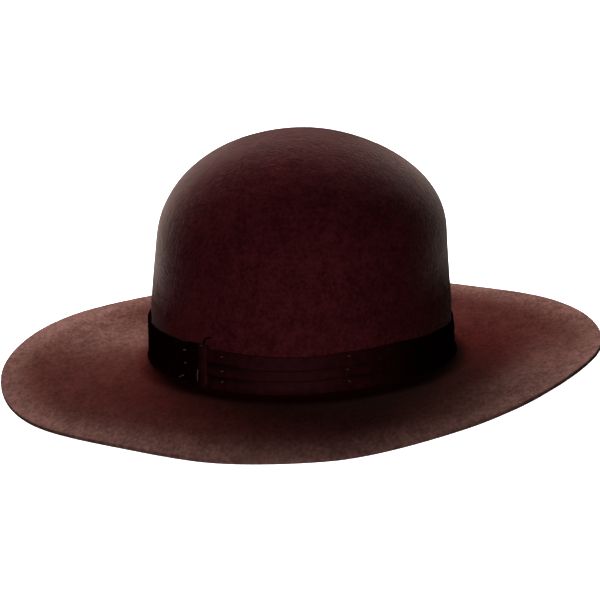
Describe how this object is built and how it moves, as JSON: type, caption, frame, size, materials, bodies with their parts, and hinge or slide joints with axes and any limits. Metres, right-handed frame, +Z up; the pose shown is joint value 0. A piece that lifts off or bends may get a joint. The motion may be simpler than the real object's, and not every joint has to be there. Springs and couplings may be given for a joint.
{
  "type": "wide-brimmed felt hat with a round open crown",
  "caption": "Felt hat with a tall round uncreased crown, a wide gently waved brim, and a pleated ribbon band with a flat side bow.",
  "frame": {"origin": "on the surface that the hat rests on, under the middle of the brim", "axes": "+Z up, -Y towards the front of the hat, +X to the right as seen from the front"},
  "size_m": [0.3324, 0.3744, 0.1308],
  "materials": {
    "felt": "dark maroon wool felt with a short soft nap",
    "ribbon": "near-black maroon ribbon with a low satin lustre"
  },
  "bodies": {
    "root": {"felt_body": "felt", "hat_band": "ribbon", "bow_loop": "ribbon", "bow_keeper": "ribbon"}
  },
  "joints": []
}
